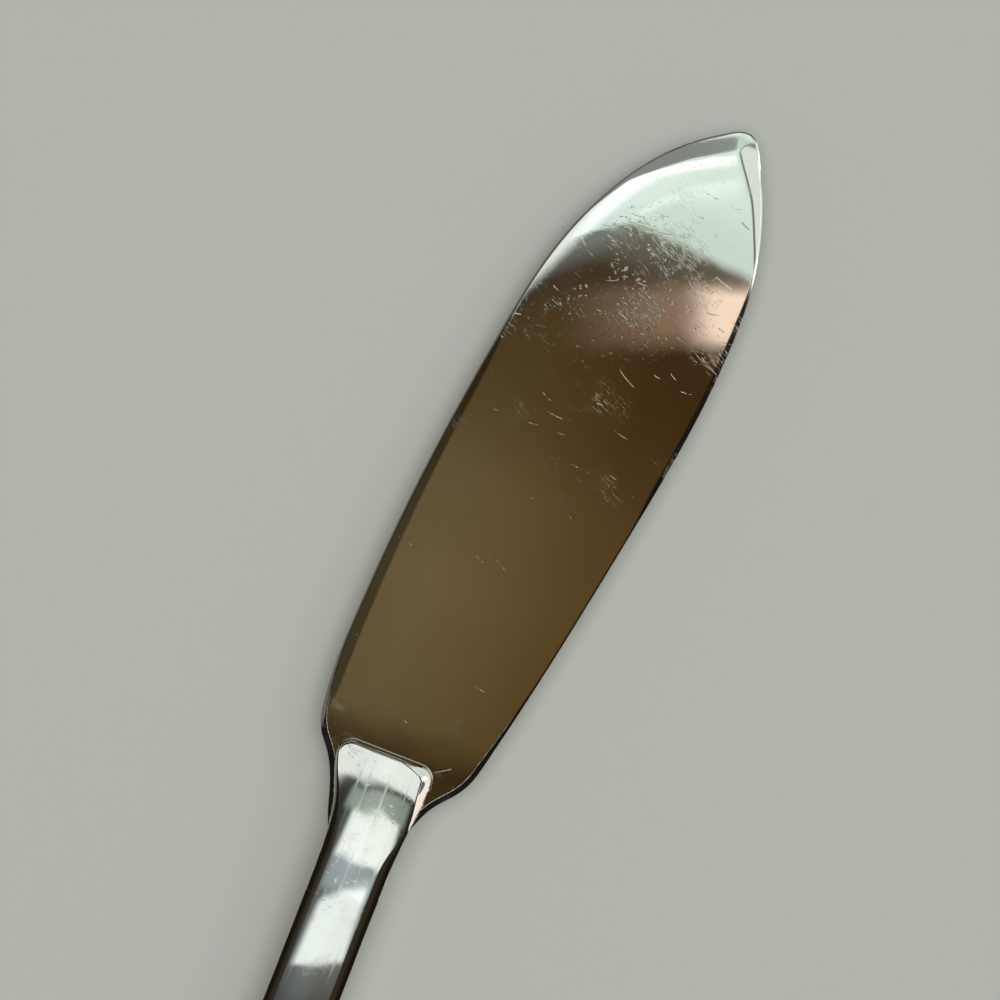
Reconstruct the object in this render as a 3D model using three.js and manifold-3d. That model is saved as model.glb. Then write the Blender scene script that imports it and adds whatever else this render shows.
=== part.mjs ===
// A fish knife with a forged blade and a hollow handle made of two pressed half shells.
// Sizes are millimetres. While the pieces are shaped, x = 0 is the lip where the bolster steps
// down to the blade, +X runs to the tip, +Y to the belly of the blade and z = 0 is the mid-plane.
// At the end the whole knife is moved so that the origin is the middle of the flat back it lies on.

import * as THREE from "three";
import { mergeVertices } from "three/addons/utils/BufferGeometryUtils.js";
import Module from "manifold-3d";

const wasm = await Module();
wasm.setup();

// Blade
const bladeReach = 81; // lip to the tip, along the handle
const tipDrop = 11.9; // tip below the handle's centre line, on the spine side
const bellyRise = 10.4; // centre line to the widest place of the belly
const spineDrop = 18.8; // centre line to the lowest place of the spine
const bladeThickness = 1.9; // at the lip
const tipThickness = 0.9; // at the tip
const edgeLand = 0.3; // upright rim left between the two rounded edges, at the lip
const edgeRounding = 0.9; // width of the rounding along the outline of the blade
const shoulderLength = 12; // lip back to where the shoulders of the blade are inside the bolster
const shoulderTuck = 0.4; // how far inside the neck's flanks the shoulders end

// Bolster and handle, which share one outer form
const handleReach = 122; // lip to the butt
const bolsterLength = 34; // lip to the mouth of the handle, with the neck
const lipBellySide = 6.6; // centre line to the side of the lip under the belly
const lipSpineSide = 4.9; // centre line to the side of the lip under the spine
const lipCornerRadius = 1.8;
const lipFlareAngle = 14; // degrees by which the belly side still widens where it meets the lip
const flareLength = 15; // lip back to where the bolster has narrowed to the neck
const neckHalfWidth = 4.15;
const neckEnd = 36; // lip to the place where the handle starts to widen
const buttRadius = 8.4;
const gripThickness = 5.4; // between the two flat faces
const gripLand = 0.6; // upright band along the flanks, which carries the seam
const gripRounding = 1.3; // width of the rounding from flank to flat face

// Inside the handle
const shellWall = 0.7;
const seamWidth = 0.2; // braze between the two half shells
const solderThickness = 0.2; // ring between bolster and handle
const cementCover = 0.9; // cement between the tang and the inside of the shells at the neck
const fitGap = 0.15; // between the cement and the pieces it fills the space between
const tangReach = 46; // mouth of the handle to the end of the tang
const tangTipHalfWidth = 1.3;
const notchCount = 3; // notches on each side of the tang, which key it in the cement
const notchDepth = 0.5;
const notchLength = 3;
const cementPastTang = 6;

const gripHalfThickness = gripThickness / 2;
const mouthX = -bolsterLength;
const shellFrontX = mouthX - solderThickness;
const buttCentreX = buttRadius - handleReach;
const beyondButtX = -handleReach - gripThickness;
const tangHalfWidth = neckHalfWidth - shellWall - fitGap - cementCover;
const tangThickness = gripThickness - 2 * (shellWall + fitGap + cementCover);
const tangRootX = mouthX / 2;
const tangEndX = mouthX - tangReach;
const cementEndX = tangEndX - cementPastTang;

const steel = { color: 0xb9b6ae, roughness: 0.18, metalness: 1 };
const silverBraze = { color: 0xc4bda9, roughness: 0.4, metalness: 1 };
const cementFill = { color: 0x8d8578, roughness: 0.95, metalness: 0 };

// Turns a closed geometry into a solid that can be added to or cut.
function solid(geometry) {
  geometry.deleteAttribute("normal");
  geometry.deleteAttribute("uv");
  const welded = mergeVertices(geometry, 1e-4);
  const mesh = new wasm.Mesh({
    numProp: 3,
    vertProperties: welded.getAttribute("position").array,
    triVerts: Uint32Array.from(welded.index.array),
  });
  return new wasm.Manifold(mesh);
}

// A plate between z = -thickness/2 and +thickness/2 whose edges are rounded inside the outline.
// "taper" gives the share of the thickness left at x; it is a straight-line function of x.
function roundedPlate(outline, thickness, land, rounding, steps, taper = () => 1) {
  const roundingHeight = (thickness - land) / 2;
  const geometry = new THREE.ExtrudeGeometry(outline, {
    depth: land,
    curveSegments: 10,
    bevelSize: rounding,
    bevelOffset: -rounding,
    bevelThickness: roundingHeight,
    bevelSegments: steps,
  });
  geometry.translate(0, 0, -land / 2);
  const position = geometry.getAttribute("position");
  for (let i = 0; i < position.count; i += 1) {
    position.setZ(i, position.getZ(i) * taper(position.getX(i)));
  }
  return solid(geometry);
}

// A block as wide as the handle and wider, between the given limits in x and z.
function slab(minX, maxX, minZ = -gripThickness, maxZ = gripThickness) {
  const width = 4 * Math.max(buttRadius, lipBellySide);
  const geometry = new THREE.BoxGeometry(maxX - minX, width, maxZ - minZ);
  geometry.translate((minX + maxX) / 2, 0, (minZ + maxZ) / 2);
  return solid(geometry);
}

function meshOf(name, body, finish) {
  const result = body.getMesh();
  const geometry = new THREE.BufferGeometry();
  geometry.setAttribute("position", new THREE.BufferAttribute(result.vertProperties, 3));
  geometry.setIndex(new THREE.BufferAttribute(result.triVerts, 1));
  geometry.computeVertexNormals();
  const mesh = new THREE.Mesh(geometry, new THREE.MeshStandardMaterial(finish));
  mesh.name = name;
  return mesh;
}

// A smooth closed outline through a few knots, each with the heading of the curve in degrees.
function smoothOutline(knots) {
  const handleShare = 0.36; // length of a curve handle as a share of the span it shapes
  const outline = new THREE.Shape();
  outline.moveTo(knots[0].x, knots[0].y);
  for (let i = 1; i < knots.length; i += 1) {
    const from = knots[i - 1];
    const to = knots[i];
    const reach = handleShare * Math.hypot(to.x - from.x, to.y - from.y);
    const leave = THREE.MathUtils.degToRad(from.heading);
    const arrive = THREE.MathUtils.degToRad(to.heading);
    outline.bezierCurveTo(
      from.x + reach * Math.cos(leave),
      from.y + reach * Math.sin(leave),
      to.x - reach * Math.cos(arrive),
      to.y - reach * Math.sin(arrive),
      to.x,
      to.y,
    );
  }
  outline.closePath();
  return outline;
}

// The belly falls from its widest place to the tip; the spine rises from its lowest place to the heel.
const bellyAt = (share) => THREE.MathUtils.lerp(bellyRise, -tipDrop, share);
const spineAt = (share) => THREE.MathUtils.lerp(-spineDrop, -neckHalfWidth, share);
// Places along the blade ahead of the lip, and along its shoulders behind the lip.
const ahead = (share) => bladeReach * share;
const behind = (share) => -shoulderLength * share;

const bladeOutline = smoothOutline([
  { x: behind(1), y: neckHalfWidth - shoulderTuck, heading: 20 },
  { x: behind(0.67), y: bellyAt(0.229), heading: 16 },
  { x: behind(0.11), y: bellyAt(0.085), heading: 42 },
  { x: ahead(0.032), y: bellyAt(0.016), heading: 7 },
  { x: ahead(0.14), y: bellyRise, heading: -2 },
  { x: ahead(0.62), y: bellyAt(0.172), heading: -9 },
  { x: ahead(0.84), y: bellyAt(0.4), heading: -27 },
  { x: ahead(0.984), y: bellyAt(0.858), heading: -58 },
  { x: ahead(1), y: -tipDrop, heading: -98 },
  { x: ahead(0.97), y: spineAt(0.323), heading: -153 },
  { x: ahead(0.726), y: -spineDrop, heading: -181 },
  { x: ahead(0.37), y: spineAt(0.243), heading: -190 },
  { x: ahead(0.022), y: spineAt(0.625), heading: -193 },
  { x: behind(0.2), y: spineAt(0.77), heading: -222 },
  { x: behind(0.43), y: spineAt(0.911), heading: -206 },
  { x: behind(1), y: shoulderTuck - neckHalfWidth, heading: -185 },
]);

// Outline of bolster and handle, drawn inside the outer form by "inset". It ends at the rounded lip,
// or square at squareFrontX where that is given.
function gripOutline(inset, squareFrontX) {
  const neck = neckHalfWidth - inset;
  const butt = buttRadius - inset;
  const widening = -neckEnd - buttCentreX;
  const outline = new THREE.Shape();
  outline.moveTo(-neckEnd, -neck);
  if (squareFrontX === undefined) {
    const cornerX = -lipCornerRadius;
    const spineCornerY = lipCornerRadius - lipSpineSide;
    const bellyCornerY = lipBellySide - lipCornerRadius;
    const bendX = -flareLength * 0.45;
    const flare = THREE.MathUtils.degToRad(lipFlareAngle);
    const flareStartX = cornerX - lipCornerRadius * Math.sin(flare);
    const flareStartY = bellyCornerY + lipCornerRadius * Math.cos(flare);
    outline.lineTo(-flareLength, -neck);
    outline.bezierCurveTo(bendX, -neck, bendX, -lipSpineSide, cornerX, -lipSpineSide);
    outline.absarc(cornerX, spineCornerY, lipCornerRadius, -Math.PI / 2, 0);
    outline.absarc(cornerX, bellyCornerY, lipCornerRadius, 0, Math.PI / 2 + flare);
    outline.bezierCurveTo(
      bendX, flareStartY + (bendX - flareStartX) * Math.tan(flare),
      bendX, neck,
      -flareLength, neck,
    );
  } else {
    outline.lineTo(squareFrontX, -neck);
    outline.lineTo(squareFrontX, neck);
  }
  outline.lineTo(-neckEnd, neck);
  outline.bezierCurveTo(
    -neckEnd - widening * 0.4, neck,
    buttCentreX + widening * 0.35, butt,
    buttCentreX, butt,
  );
  outline.absarc(buttCentreX, 0, butt, Math.PI / 2, 1.5 * Math.PI);
  outline.bezierCurveTo(
    buttCentreX + widening * 0.35, -butt,
    -neckEnd - widening * 0.4, -neck,
    -neckEnd, -neck,
  );
  return outline;
}

// Outline of the tang, grown by "grow": a tapered bar with notches along both sides, whose root
// is inside the bolster.
function tangOutline(grow) {
  const side = [];
  const pitch = tangReach / (notchCount + 1);
  const halfWidthAt = (x) => {
    const share = THREE.MathUtils.clamp((mouthX - x) / tangReach, 0, 1);
    return THREE.MathUtils.lerp(tangHalfWidth, tangTipHalfWidth, share) + grow;
  };
  side.push(new THREE.Vector2(tangRootX, halfWidthAt(tangRootX)));
  for (let i = 1; i <= notchCount; i += 1) {
    const middle = mouthX - i * pitch;
    const front = middle + notchLength / 2;
    const back = middle - notchLength / 2;
    side.push(new THREE.Vector2(front, halfWidthAt(front)));
    side.push(new THREE.Vector2(middle, halfWidthAt(middle) - notchDepth));
    side.push(new THREE.Vector2(back, halfWidthAt(back)));
  }
  side.push(new THREE.Vector2(tangEndX - grow, halfWidthAt(tangEndX)));
  const otherSide = side.map((point) => new THREE.Vector2(point.x, -point.y)).reverse();
  return new THREE.Shape([...side, ...otherSide]);
}

function tangBar(grow) {
  const thickness = tangThickness + 2 * grow;
  const geometry = new THREE.ExtrudeGeometry(tangOutline(grow), {
    depth: thickness,
    bevelEnabled: false,
  });
  geometry.translate(0, 0, -thickness / 2);
  return solid(geometry);
}

// Outer form of bolster and handle, and the space inside the handle drawn in from it.
const gripForm = roundedPlate(gripOutline(0), gripThickness, gripLand, gripRounding, 5);

function handleSpace(inset, steps) {
  return roundedPlate(
    gripOutline(inset, mouthX + shellWall + gripRounding),
    gripThickness - 2 * inset,
    gripLand,
    gripRounding,
    steps,
  );
}

// Blade, bolster and tang are one forging.
const bladePlate = roundedPlate(
  bladeOutline,
  bladeThickness,
  edgeLand,
  edgeRounding,
  3,
  (x) => 1 - (1 - tipThickness / bladeThickness) * (x / bladeReach),
);
const bolster = gripForm.intersect(slab(mouthX, bladeReach));
const bladeForging = bladePlate.add(bolster).add(tangBar(0));

// Two half shells, parted at the mid-plane by the seam.
const handleTube = gripForm
  .subtract(handleSpace(shellWall, 4))
  .intersect(slab(beyondButtX, shellFrontX));
const frontShell = handleTube.intersect(slab(beyondButtX, 0, seamWidth / 2, gripThickness));
const backShell = handleTube.intersect(slab(beyondButtX, 0, -gripThickness, -seamWidth / 2));
const seam = handleTube.intersect(slab(beyondButtX, 0, -seamWidth / 2, seamWidth / 2));

// The solder ring closes the mouth round the tang, and the cement fills the shells past the tang's end.
const tangHole = tangBar(fitGap);
const solderRing = gripForm.intersect(slab(shellFrontX, mouthX)).subtract(tangHole);
const cement = handleSpace(shellWall + fitGap, 3)
  .intersect(slab(cementEndX, shellFrontX - fitGap))
  .subtract(tangHole);

const knife = new THREE.Group();
knife.name = "fish_knife";
knife.add(
  meshOf("blade", bladeForging, steel),
  meshOf("handle_front_shell", frontShell, steel),
  meshOf("handle_back_shell", backShell, steel),
  meshOf("seam_braze", seam, silverBraze),
  meshOf("bolster_solder", solderRing, silverBraze),
  meshOf("handle_cement", cement, cementFill),
);

// The origin is the middle of the flat back of the handle.
const restCentreX = (mouthX - handleReach) / 2;
knife.position.set(-restCentreX, 0, gripHalfThickness);

export default knife;
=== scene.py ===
# %% [markdown]
# # A fish knife in polished steel
#
# The knife is one forging, blade and neck together, whose tang is cemented into a hollow handle made
# of two pressed halves. The CAD solids already fix every size. Blender adds what they leave out: the
# soft edges, the thinned tip and the scratched mirror finish. So this lesson first loads the solids,
# measures them, and draws smooth surfaces over what it measured.

# %% Load the frame
import math

import bmesh
import bpy
import numpy as np
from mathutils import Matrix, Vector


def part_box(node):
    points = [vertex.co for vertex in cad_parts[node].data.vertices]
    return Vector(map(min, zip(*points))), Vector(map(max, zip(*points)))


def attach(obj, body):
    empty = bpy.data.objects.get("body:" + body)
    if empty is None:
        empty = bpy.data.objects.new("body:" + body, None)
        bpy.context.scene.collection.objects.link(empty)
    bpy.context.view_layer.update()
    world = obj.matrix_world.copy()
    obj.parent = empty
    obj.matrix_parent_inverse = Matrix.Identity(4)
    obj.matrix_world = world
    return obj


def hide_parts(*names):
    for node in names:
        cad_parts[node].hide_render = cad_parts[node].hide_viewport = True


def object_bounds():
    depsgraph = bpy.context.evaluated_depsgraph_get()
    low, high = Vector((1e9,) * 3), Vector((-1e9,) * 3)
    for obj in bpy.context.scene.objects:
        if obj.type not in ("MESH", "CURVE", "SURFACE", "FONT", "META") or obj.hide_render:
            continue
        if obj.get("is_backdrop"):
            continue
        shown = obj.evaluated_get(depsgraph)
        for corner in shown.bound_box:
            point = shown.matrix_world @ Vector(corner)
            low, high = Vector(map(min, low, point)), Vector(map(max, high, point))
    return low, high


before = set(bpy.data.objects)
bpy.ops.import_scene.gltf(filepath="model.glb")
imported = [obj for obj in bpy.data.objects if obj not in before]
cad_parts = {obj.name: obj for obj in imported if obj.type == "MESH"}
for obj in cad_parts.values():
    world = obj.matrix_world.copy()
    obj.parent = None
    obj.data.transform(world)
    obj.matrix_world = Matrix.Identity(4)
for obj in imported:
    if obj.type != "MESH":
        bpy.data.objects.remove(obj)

MM = 0.001
cad_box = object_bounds()
size = (cad_box[1] - cad_box[0]) / MM
print(f"frame: {size.x:.1f} x {size.y:.1f} x {size.z:.1f} mm, nodes {sorted(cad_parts)}")

# %% [markdown]
# ## Measuring the solids
#
# The mouth of the handle is where the solder ring sits, and the mid-plane of the knife is half way up
# the forging. The flats of a solid are found by their normals: a face that looks straight up and lies
# at the very top belongs to the flat of the neck or handle, and an upright face belongs to the rim,
# which is the outline seen from above.

# %% Landmarks read from the frame
blade_low, blade_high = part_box("blade")
shell_low, shell_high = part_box("handle_front_shell")
MID_Z = (blade_low.z + blade_high.z) / 2
GRIP_HALF = blade_high.z - MID_Z
SEAM_HALF = shell_low.z - MID_Z
MOUTH_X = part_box("bolster_solder")[1].x
SHELL_FRONT_X = shell_high.x
LEVEL = 0.999  # least z of the normal of a level face
SLIGHT = 0.02  # a part of a normal that is smaller than this counts as none
END_ON = 0.99  # least x of the normal of a face that looks along the knife
CLOSE = 0.001 * MM  # places nearer to each other than this count as the same
print(f"mouth of the handle at x = {MOUTH_X / MM:.1f} mm, half thickness {GRIP_HALF / MM:.2f} mm")


def corners_of(node, keep):
    """Corners (x, y, z) of the faces of a node that keep(normal, corners) accepts, each once."""
    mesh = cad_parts[node].data
    found = set()
    for face in mesh.polygons:
        corners = [mesh.vertices[i].co for i in face.vertices]
        if keep(face.normal, corners):
            found.update(tuple(np.round(c, 7)) for c in corners)
    return np.array(sorted(found))


def in_plan(corners):
    """Corners seen from above: (x, y), each once."""
    return np.unique(np.round(corners[:, :2], 6), axis=0)


# %% The flat of the neck, the lip and the flanks
TOP_Z = MID_Z + GRIP_HALF


def is_top_flat(normal, corners):
    return normal.z > LEVEL and min(c.z for c in corners) > TOP_Z - CLOSE


neck_flat = in_plan(corners_of("blade", is_top_flat))
handle_flat = in_plan(corners_of("handle_front_shell", is_top_flat))
FLANK = shell_high.y - handle_flat[:, 1].max()
LIP_X = neck_flat[:, 0].max() + FLANK
print(f"lip at x = {LIP_X / MM:.1f} mm, rounded flanks {FLANK / MM:.2f} mm wide")

# %% [markdown]
# ## Camera
#
# The photograph looks straight down on the blade, which leans to the right, and the picture ends part
# of the way down the neck. The camera hangs above the middle of what is seen, far enough away for a
# natural perspective, and is turned about its own axis until the handle runs the way it does there.

# %% Camera
VIEW_WIDTH = 114.7 * MM
VIEW_DISTANCE = 230 * MM
VIEW_X = LIP_X + 31.5 * MM
VIEW_Y = -0.4 * MM
HANDLE_ANGLE = math.radians(68.7)

camera_data = bpy.data.cameras.new("camera")
camera_data.lens = camera_data.sensor_width * VIEW_DISTANCE / VIEW_WIDTH
camera = bpy.data.objects.new("camera", camera_data)
bpy.context.scene.collection.objects.link(camera)
bpy.context.scene.camera = camera
camera.location = (VIEW_X, VIEW_Y, MID_Z + VIEW_DISTANCE)
camera.rotation_euler = (0, 0, -HANDLE_ANGLE)
print(f"camera lens {camera_data.lens:.0f} mm")

# %% [markdown]
# ## Smooth outlines
#
# The solids are faceted, so their rims are chains of short straight lines, but every corner of a chain
# lies on the true curve. A curve drawn through the corners, whose direction at each one is taken from
# its two neighbours, gives the outline back as a smooth line.

# %% Lines in plan
OUTLINE_STEP = 0.25 * MM
CLOSEST_CORNERS = 0.12 * MM  # of two corners that are closer, only one is kept


def lengths_along(line):
    return np.concatenate([[0], np.cumsum(np.hypot(*np.diff(line, axis=0).T))])


def smooth_line(corners):
    """A smooth line through plan corners, as points about OUTLINE_STEP apart."""
    along = lengths_along(corners)
    heading = np.gradient(corners, along, axis=0)
    places = np.linspace(0, along[-1], int(along[-1] / OUTLINE_STEP) + 2)
    i = np.clip(np.searchsorted(along, places, side="right") - 1, 0, len(along) - 2)
    span = (along[i + 1] - along[i])[:, None]
    t = (places - along[i])[:, None] / span
    return (
        corners[i] * (1 + 2 * t) * (1 - t) ** 2
        + heading[i] * span * t * (1 - t) ** 2
        + corners[i + 1] * t**2 * (3 - 2 * t)
        + heading[i + 1] * span * t**2 * (t - 1)
    )


def outline_of(rim, tip, is_first_side, run):
    """Smooth outlines from the mouth to the tip, along one side and along the other.
    "run" is +1 where x grows from the mouth to the tip and -1 where it falls."""
    sides = []
    for side in (rim[is_first_side], rim[~is_first_side]):
        side = side[np.argsort(run * side[:, 0])]
        apart = np.hypot(*np.diff(np.vstack([side, tip]), axis=0).T)
        sides.append(side[apart > CLOSEST_CORNERS])
    line = smooth_line(np.vstack([sides[0], [tip], sides[1][::-1]]))
    turn = (run * line[:, 0]).argmax()
    return line[: turn + 1], line[turn:][::-1]


# %% Outline of the forging
def is_forging_rim(normal, corners):
    ahead_of_mouth = min(c.x for c in corners) > MOUTH_X - CLOSE
    return abs(normal.z) < SLIGHT and normal.x > -END_ON and ahead_of_mouth


rim = in_plan(corners_of("blade", is_forging_rim))
nose = rim[rim[:, 0].argmax()]
rim = rim[rim[:, 0] < nose[0]]
# The straight line from the lip to the nose parts the belly side from the spine side.
parting_y = np.clip((rim[:, 0] - LIP_X) / (nose[0] - LIP_X), 0, None) * nose[1]
outlines = outline_of(rim, nose, rim[:, 1] > parting_y, 1)
# Between two corners a curve can swing out by a few thousandths of a millimetre, so it is held in the
# box of the solids.
belly_line, spine_line = [np.clip(line, cad_box[0][:2], cad_box[1][:2]) for line in outlines]
print(f"outline: {len(belly_line)} points along the belly, {len(spine_line)} along the spine")

# %% [markdown]
# ## Cross-sections
#
# Every piece is skinned over cross-sections, as a boat's hull is over its frames. A section of the
# forging runs from the spine to the belly, between places that are the same share of the way to the
# lip or, ahead of it, from the lip to the nose. Sections stand close together at the lip and the nose,
# and the points of a section crowd together at its two edges and over the flanks of the neck, because
# the form turns quickly there.

# %% Section helpers
LINES_ACROSS = 161
CROWD_WIDTH = 1.6 * MM  # how far round a line of interest the points stand closer
CROWD = 9  # how many times closer they stand there
FINE_POINTS = 2001  # points across on which the crowding is worked out


def stations(line, spacing_at):
    """Shares of a line's length to cut sections at, as far apart as spacing_at(x) says."""
    along = lengths_along(line)
    places = [0]
    while places[-1] < along[-1]:
        places.append(places[-1] + spacing_at(np.interp(places[-1], along, line[:, 0])))
    return np.array(places[:-1] + [along[-1]]) / along[-1]


def points_at(line, shares):
    along = lengths_along(line) / lengths_along(line)[-1]
    return np.column_stack([np.interp(shares, along, line[:, k]) for k in (0, 1)])


def section(first, second, crowded_y):
    """Plan points from one edge to the other, close together at the edges and near each y given."""
    fine = np.linspace(0, 1, FINE_POINTS)[:, None]
    line = first + fine * (second - first)
    wanted = 1 + np.zeros(len(line))
    for y in [first[1], second[1], *crowded_y]:
        wanted += CROWD * np.exp(-(((line[:, 1] - y) / CROWD_WIDTH) ** 2))
    rank = np.cumsum(wanted)
    shares = np.interp(np.linspace(rank[0], rank[-1], LINES_ACROSS), rank, fine[:, 0])
    return first + shares[:, None] * (second - first)


# %% Sections of the forging
# Places are millimetres ahead of the lip, with the spacing of the sections there.
SPACING = {
    -34: 1.2,
    -12: 0.4,
    -3: 0.1,
    0.6: 0.07,
    1.2: 0.12,
    4: 0.6,
    50: 1.0,
    60: 0.5,
    79: 0.35,
    81: 0.08,
}


def forging_spacing(x):
    return np.interp((x - LIP_X) / MM, list(SPACING), list(SPACING.values())) * MM


def flat_side(side, x):
    """The y of the neck's flat at x, on the +y side (1) or the -y side (-1)."""
    edge = neck_flat[side * neck_flat[:, 1] > 0]
    edge = edge[np.argsort(edge[:, 0])]
    return np.interp(x, edge[:, 0], edge[:, 1])


def share_behind_lip(line):
    """The share of a line's length that lies behind the lip."""
    along = lengths_along(line)
    return np.interp(LIP_X, line[:, 0], along) / along[-1]


# At the lip both ends of a section have the same x, so that the wall of the lip lies along a section.
shares_behind = [share_behind_lip(line) for line in (belly_line, spine_line)]
belly_shares = stations(belly_line, forging_spacing)
spine_shares = np.interp(belly_shares, [0, shares_behind[0], 1], [0, shares_behind[1], 1])
belly_ends = points_at(belly_line, belly_shares)
spine_ends = points_at(spine_line, spine_shares)
forging_plan = []
for spine_end, belly_end in zip(spine_ends, belly_ends):
    middle_x = (spine_end[0] + belly_end[0]) / 2
    flanks = [flat_side(side, middle_x) + side * FLANK / 2 for side in (1, -1)]
    forging_plan.append(section(spine_end, belly_end, flanks))
forging_plan = np.array(forging_plan)
print(f"{len(forging_plan)} sections of {LINES_ACROSS} points")

# %% [markdown]
# ## Form of the forging
#
# The blade is a plate whose flat is read from the frame. A narrow bevel runs along its belly and
# another along the spine of its tip, the polishing wheel eased its edges, and it was ground thinner
# towards the tip. The neck stands on it as a bar that ends in a steep lip. Its top is crowned, most of
# all at the lip, and dips a little behind it. Its flanks are rounded and then fall straight, the spine
# corner of the lip is slanted, and a small fillet runs round its foot.
#
# All this could be sculpted, or cut with bevel modifiers. Here a thickness is worked out for every
# point instead, so each of these forms is a size with a name. The higher of plate and neck is the
# surface.

# %% Distances in plan


def distance_to(points, line):
    """Distance of each plan point from the nearest place of a line."""
    nearest = np.full(len(points), np.inf)
    for start, end in zip(line[:-1], line[1:]):
        step = end - start
        share = np.clip((points - start) @ step / (step @ step), 0, 1)
        nearest = np.minimum(nearest, np.hypot(*(points - start - share[:, None] * step).T))
    return nearest


def is_inside(points, loop):
    """Which plan points lie inside a closed loop."""
    inside = np.zeros(len(points), bool)
    for (ax, ay), (bx, by) in zip(loop, np.roll(loop, -1, axis=0)):
        if ay != by:
            crosses = (ay > points[:, 1]) != (by > points[:, 1])
            inside ^= crosses & (points[:, 0] < ax + (points[:, 1] - ay) * (bx - ax) / (by - ay))
    return inside


def depth_inside(points, flat):
    """How far plan points lie inside the edge of a flat that crosses the centre line. Points outside it
    are below 0."""
    left, right = flat[flat[:, 1] > 0], flat[flat[:, 1] < 0]
    loop = np.vstack([left[np.argsort(left[:, 0])], right[np.argsort(-right[:, 0])]])
    distance = distance_to(points, np.vstack([loop, loop[:1]]))
    return np.where(is_inside(points, loop), distance, -distance)


# %% Rounded forms
def quarter_round(share):
    """Height of a quarter ellipse: 0 where share is 0, level at 1 from share 1 on."""
    return np.sqrt(1 - (1 - np.clip(share, 0, 1)) ** 2)


def smooth_step(value, low, high):
    t = np.clip((value - low) / (high - low), 0, 1)
    return t * t * (3 - 2 * t)


def bevel_drop(depth, width, slope, soft):
    """How far a bevel of a given width and slope lies below the flat. Its inner edge is soft."""
    into = np.clip(width - depth, 0, None)
    return slope * np.where(into < soft, into**2 / (2 * soft), into - soft / 2)


# %% Thickness of the blade
# Millimetres ahead of the lip, and the width of the bevel there.
BELLY_BEVEL = {-1: 0.0, 2: 0.9, 5: 1.5, 9: 1.65, 44: 1.1, 54: 0.4, 66: 0.4, 71: 0.7, 75: 1.9, 78: 2.5}
BELLY_BEVEL_SLOPE, BELLY_BEVEL_START = 0.09, 0.35 * MM
SPINE_BEVEL = {64: 0.0, 70: 1.1, 74: 1.6, 77: 2.4, 79: 2.8}
SPINE_BEVEL_SLOPE, SPINE_BEVEL_START = 0.1, 0.8 * MM
# The same for the width over which the sharp edges were eased.
BELLY_EASED = {0: 0.8, 4: 0.5, 10: 0.35, 60: 0.3, 70: 0.25}
SPINE_EASED = {2: 0.7, 8: 0.4, 14: 0.25, 34: 0.25, 40: 0.65, 60: 0.65, 66: 0.3}
EASED_SLOPE, EASED_START = 0.47, 0.05 * MM
EDGE_LAND = 0.1 * MM  # half thickness that the bevels leave near the edge
EDGE_EASED = 0.15 * MM  # width of the eased strip that is always left at the edge
LAND_BLEND = 0.05 * MM  # how softly the bevels run out into that strip
TIP_GROUND_FROM = 58 * MM  # ahead of the lip
TIP_GROUND_OFF = 0.05 * MM  # at the nose
BELLY_GROUND_FROM, BELLY_GROUND_WHOLE = 44 * MM, 64 * MM  # ahead of the lip
BELLY_GROUND_WIDTH = 6 * MM
BELLY_GROUND_OFF = 0.13 * MM  # at the edge
NEARLY_LEVEL = 0.99  # least z of the normal of the blade's flat, which slopes because the blade tapers


def is_blade_flat(normal, corners):
    ahead_of_lip = min(c.x for c in corners) > LIP_X
    return normal.z > NEARLY_LEVEL and ahead_of_lip and max(c.z for c in corners) < TOP_Z


blade_flat = corners_of("blade", is_blade_flat)
TAPER, FLAT_AT_LIP = np.polyfit(blade_flat[:, 0] - LIP_X, blade_flat[:, 2] - MID_Z, 1)
print(f"blade {2 * FLAT_AT_LIP / MM:.2f} mm thick at the lip, tapering {2 * TAPER:.4f}")


def width_at(ahead, widths):
    return np.interp(ahead / MM, list(widths), list(widths.values())) * MM


def blade_half(points, to_belly, to_spine):
    ahead = points[:, 0] - LIP_X
    reach = nose[0] - LIP_X
    half = FLAT_AT_LIP + TAPER * ahead
    tip_share = np.clip((ahead - TIP_GROUND_FROM) / (reach - TIP_GROUND_FROM), 0, 1)
    half -= TIP_GROUND_OFF * tip_share**2
    near_belly = np.clip(1 - to_belly / BELLY_GROUND_WIDTH, 0, 1) ** 3
    half -= BELLY_GROUND_OFF * near_belly * smooth_step(ahead, BELLY_GROUND_FROM, BELLY_GROUND_WHOLE)
    belly_width = width_at(ahead, BELLY_BEVEL)
    spine_width = width_at(ahead, SPINE_BEVEL)
    belly_drop = bevel_drop(to_belly, belly_width, BELLY_BEVEL_SLOPE, BELLY_BEVEL_START)
    spine_drop = bevel_drop(to_spine, spine_width, SPINE_BEVEL_SLOPE, SPINE_BEVEL_START)
    half -= np.maximum(belly_drop, spine_drop)
    half -= bevel_drop(to_belly, width_at(ahead, BELLY_EASED), EASED_SLOPE, EASED_START)
    half -= bevel_drop(to_spine, width_at(ahead, SPINE_EASED), EASED_SLOPE, EASED_START)
    to_edge = np.minimum(to_belly, to_spine)
    least = EDGE_LAND - EASED_SLOPE * np.clip(EDGE_EASED - to_edge, 0, None)
    return least + (half - least + np.hypot(half - least, LAND_BLEND)) / 2


# %% Thickness of the neck and handle
CROWN = 0.2 * MM  # how far the top falls from its middle to the side of neck or handle
WAIST = 0.12 * MM  # how much lower each face lies behind the lip than at the lip itself
LIP_RISE = 18 * MM  # length over which the neck rises to its lip
HANDLE_RISE = 45 * MM  # length over which the handle swells again behind its mouth
FLANK_DROP = 0.26 * MM  # how far the rounded flank falls before it becomes a wall
SLANT_DROP = 0.5 * MM  # how far it falls where it is slanted


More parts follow.
